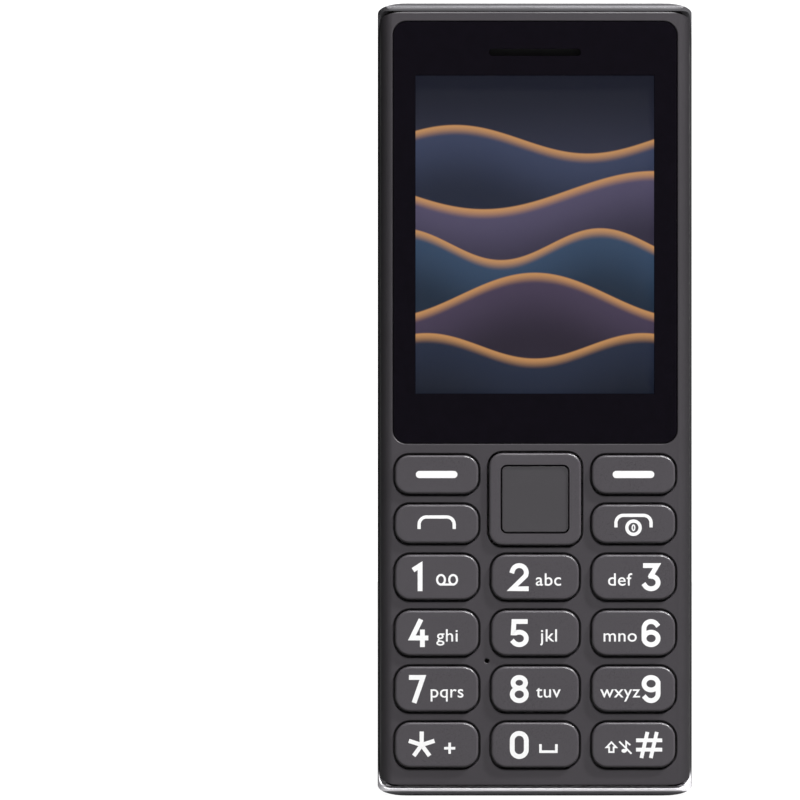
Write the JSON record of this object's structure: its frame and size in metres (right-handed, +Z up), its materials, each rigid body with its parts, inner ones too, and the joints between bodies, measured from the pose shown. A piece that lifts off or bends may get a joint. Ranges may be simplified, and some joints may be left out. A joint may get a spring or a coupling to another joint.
{
  "type": "feature phone",
  "caption": "Bar phone with a colour screen above a numeric keypad, a rocking navigation key and a lift-off back over the battery.",
  "frame": {"origin": "middle of the bottom end that the phone stands on, midway through its depth", "axes": "+X to the right as seen from the front, +Y from the screen to the back, +Z up from the standing end to the earpiece end"},
  "size_m": [0.0484, 0.0132, 0.122],
  "materials": {
    "face_plastic": "satin moulded plastic, warm dark grey",
    "key_plastic": "satin moulded plastic with white printed legends",
    "back_plastic": "matte dark plastic with a fine level hairline texture",
    "frame_plastic": "black moulded chassis plastic",
    "dark_plastic": "black moulded plastic",
    "white_plastic": "white reflective plastic",
    "window_glass": "clear polished window with a black printed border",
    "screen_glass": "screen glass, lit picture",
    "black_tape": "black double-sided tape",
    "mesh_cloth": "fine black acoustic cloth",
    "amber_film": "amber flexible circuit film",
    "board_laminate": "green solder mask over laminate",
    "bright_steel": "stamped stainless steel",
    "tinned_steel": "tinned steel sheet",
    "clear_film": "thin clear carrier film",
    "silicone": "translucent grey silicone",
    "lamp_resin": "pale resin over a lamp",
    "black_rubber": "soft black rubber",
    "battery_case": "dark wrapped battery pack, unprinted",
    "gold_plate": "gold-plated contact",
    "clear_lens": "clear moulded lens",
    "copper_film": "copper film"
  },
  "bodies": {
    "chassis": {"front_cover": "face_plastic", "display_window": "window_glass", "window_tape": "black_tape", "earpiece_cloth": "mesh_cloth", "earpiece_receiver": "dark_plastic", "lcd_panel": "screen_glass", "lcd_backlight": "white_plastic", "lcd_ribbon": "amber_film", "screen_socket": "dark_plastic", "main_board": "board_laminate", "key_domes": "bright_steel", "dome_carrier": "clear_film", "keymat": "silicone", "key_lamps": "lamp_resin", "microphone": "bright_steel", "microphone_boot": "black_rubber", "radio_shield": "tinned_steel", "radio_chip": "dark_plastic", "main_shield": "tinned_steel", "processor_chip": "dark_plastic", "battery_connector": "dark_plastic", "sim_socket_left": "bright_steel", "sim_socket_right": "bright_steel", "memory_card_socket": "bright_steel", "loudspeaker": "dark_plastic", "vibration_motor": "bright_steel", "audio_jack": "dark_plastic", "torch_lamp": "lamp_resin", "torch_lens": "clear_lens", "usb_socket": "bright_steel", "aerial_film": "copper_film", "middle_frame": "frame_plastic", "case_screws": "bright_steel"},
    "battery_pack": {"battery": "battery_case", "battery_contacts": "gold_plate"},
    "rear_cover": {"rear_cover": "back_plastic"},
    "nav_pad": {"nav_pad": "frame_plastic"},
    "nav_ring": {"nav_ring": "key_plastic"},
    "nav_center": {"nav_center": "key_plastic"},
    "soft_key_left": {"soft_key_left": "key_plastic"},
    "soft_key_right": {"soft_key_right": "key_plastic"},
    "call_key": {"call_key": "key_plastic"},
    "end_key": {"end_key": "key_plastic"},
    "key_1": {"key_1": "key_plastic"},
    "key_2": {"key_2": "key_plastic"},
    "key_3": {"key_3": "key_plastic"},
    "key_4": {"key_4": "key_plastic"},
    "key_5": {"key_5": "key_plastic"},
    "key_6": {"key_6": "key_plastic"},
    "key_7": {"key_7": "key_plastic"},
    "key_8": {"key_8": "key_plastic"},
    "key_9": {"key_9": "key_plastic"},
    "key_star": {"key_star": "key_plastic"},
    "key_0": {"key_0": "key_plastic"},
    "key_hash": {"key_hash": "key_plastic"}
  },
  "joints": [
    {"name": "soft_key_left_press", "type": "slide", "parent": "chassis", "child": "soft_key_left", "axis": [0, 1, 0], "range_m": [0, 0.0003], "stiffness_N_per_m": 1000, "deforming": ["keymat"]},
    {"name": "soft_key_right_press", "type": "slide", "parent": "chassis", "child": "soft_key_right", "axis": [0, 1, 0], "range_m": [0, 0.0003], "stiffness_N_per_m": 1000, "deforming": ["keymat"]},
    {"name": "call_key_press", "type": "slide", "parent": "chassis", "child": "call_key", "axis": [0, 1, 0], "range_m": [0, 0.0003], "stiffness_N_per_m": 1000, "deforming": ["keymat"]},
    {"name": "end_key_press", "type": "slide", "parent": "chassis", "child": "end_key", "axis": [0, 1, 0], "range_m": [0, 0.0003], "stiffness_N_per_m": 1000, "deforming": ["keymat"]},
    {"name": "key_1_press", "type": "slide", "parent": "chassis", "child": "key_1", "axis": [0, 1, 0], "range_m": [0, 0.0003], "stiffness_N_per_m": 1000, "deforming": ["keymat"]},
    {"name": "key_2_press", "type": "slide", "parent": "chassis", "child": "key_2", "axis": [0, 1, 0], "range_m": [0, 0.0003], "stiffness_N_per_m": 1000, "deforming": ["keymat"]},
    {"name": "key_3_press", "type": "slide", "parent": "chassis", "child": "key_3", "axis": [0, 1, 0], "range_m": [0, 0.0003], "stiffness_N_per_m": 1000, "deforming": ["keymat"]},
    {"name": "key_4_press", "type": "slide", "parent": "chassis", "child": "key_4", "axis": [0, 1, 0], "range_m": [0, 0.0003], "stiffness_N_per_m": 1000, "deforming": ["keymat"]},
    {"name": "key_5_press", "type": "slide", "parent": "chassis", "child": "key_5", "axis": [0, 1, 0], "range_m": [0, 0.0003], "stiffness_N_per_m": 1000, "deforming": ["keymat"]},
    {"name": "key_6_press", "type": "slide", "parent": "chassis", "child": "key_6", "axis": [0, 1, 0], "range_m": [0, 0.0003], "stiffness_N_per_m": 1000, "deforming": ["keymat"]},
    {"name": "key_7_press", "type": "slide", "parent": "chassis", "child": "key_7", "axis": [0, 1, 0], "range_m": [0, 0.0003], "stiffness_N_per_m": 1000, "deforming": ["keymat"]},
    {"name": "key_8_press", "type": "slide", "parent": "chassis", "child": "key_8", "axis": [0, 1, 0], "range_m": [0, 0.0003], "stiffness_N_per_m": 1000, "deforming": ["keymat"]},
    {"name": "key_9_press", "type": "slide", "parent": "chassis", "child": "key_9", "axis": [0, 1, 0], "range_m": [0, 0.0003], "stiffness_N_per_m": 1000, "deforming": ["keymat"]},
    {"name": "key_star_press", "type": "slide", "parent": "chassis", "child": "key_star", "axis": [0, 1, 0], "range_m": [0, 0.0003], "stiffness_N_per_m": 1000, "deforming": ["keymat"]},
    {"name": "key_0_press", "type": "slide", "parent": "chassis", "child": "key_0", "axis": [0, 1, 0], "range_m": [0, 0.0003], "stiffness_N_per_m": 1000, "deforming": ["keymat"]},
    {"name": "key_hash_press", "type": "slide", "parent": "chassis", "child": "key_hash", "axis": [0, 1, 0], "range_m": [0, 0.0003], "stiffness_N_per_m": 1000, "deforming": ["keymat"]},
    {"name": "nav_center_press", "type": "slide", "parent": "chassis", "child": "nav_center", "axis": [0, 1, 0], "range_m": [0, 0.0003], "stiffness_N_per_m": 1000, "deforming": ["keymat"]},
    {"name": "nav_rock_up_down", "type": "hinge", "parent": "chassis", "child": "nav_pad", "pos_m": [0, -0.0038, 0.04567], "axis": [1, 0, 0], "range_deg": [-2.5, 2.5], "stiffness_Nm_per_rad": 0.05, "deforming": ["keymat"]},
    {"name": "nav_rock_left_right", "type": "hinge", "parent": "nav_pad", "child": "nav_ring", "pos_m": [0, -0.0038, 0.04567], "axis": [0, 0, 1], "range_deg": [-2.5, 2.5], "stiffness_Nm_per_rad": 0.05, "deforming": ["keymat"]},
    {"name": "rear_cover_off", "type": "slide", "parent": "chassis", "child": "rear_cover", "axis": [0, 1, 0], "range_m": [0, 0.03]},
    {"name": "battery_out", "type": "slide", "parent": "chassis", "child": "battery_pack", "axis": [0, 1, 0], "range_m": [0, 0.015]}
  ],
  "couplings": [
    {"joint": "battery_out", "follows": "rear_cover_off", "ratio": 0.5}
  ]
}
